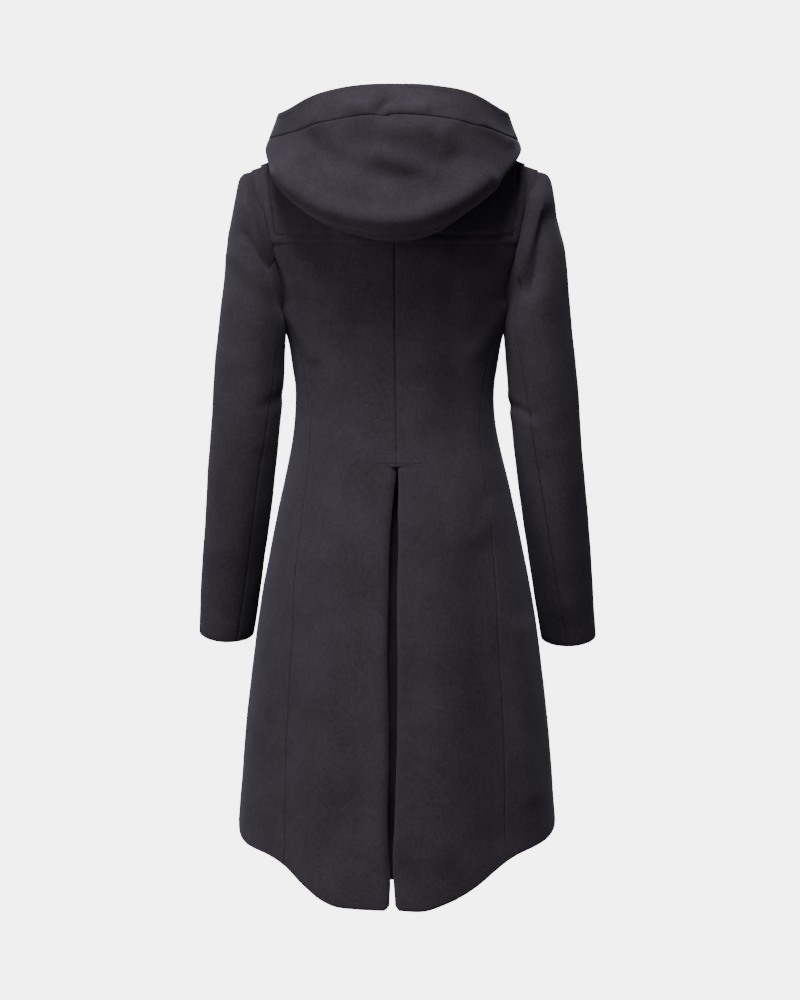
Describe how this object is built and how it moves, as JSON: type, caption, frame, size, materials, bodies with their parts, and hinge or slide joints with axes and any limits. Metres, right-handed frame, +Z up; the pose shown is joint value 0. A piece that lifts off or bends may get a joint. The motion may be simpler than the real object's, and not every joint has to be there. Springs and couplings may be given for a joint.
{
  "type": "duffle coat",
  "caption": "Long hooded wool coat with a cape yoke, an inverted back pleat, a curved tail hem and toggle fastenings, filled out as worn.",
  "frame": {"origin": "middle of the neck opening, level with the points where the shoulder seams meet it", "axes": "+Z up along the body, +Y the way the wearer faces, +X to the wearer's right; the back of the coat faces -Y"},
  "size_m": [0.5372, 0.3833, 1.1079],
  "materials": {
    "wool": "brushed heavy melton wool, very dark blue-grey, matt with a short nap",
    "horn": "polished dark horn",
    "leather": "dark smooth leather with a fine grain",
    "cord": "dark braided cord"
  },
  "bodies": {
    "root": {"back_left": "wool", "back_right": "wool", "back_tab": "wool", "front_left": "wool", "front_right": "wool", "hood_band": "wool", "hood_inner": "wool", "hood_outer": "wool", "loop_1": "cord", "loop_2": "cord", "loop_3": "cord", "loop_4": "cord", "patch_left_1": "leather", "patch_left_2": "leather", "patch_left_3": "leather", "patch_left_4": "leather", "patch_right_1": "leather", "patch_right_2": "leather", "patch_right_3": "leather", "patch_right_4": "leather", "pleat_underlay": "wool", "side_left": "wool", "side_right": "wool", "sleeve_top_left": "wool", "sleeve_top_right": "wool", "sleeve_under_left": "wool", "sleeve_under_right": "wool", "tie_1": "cord", "tie_2": "cord", "tie_3": "cord", "tie_4": "cord", "toggle_1": "horn", "toggle_2": "horn", "toggle_3": "horn", "toggle_4": "horn", "yoke": "wool"}
  },
  "joints": []
}
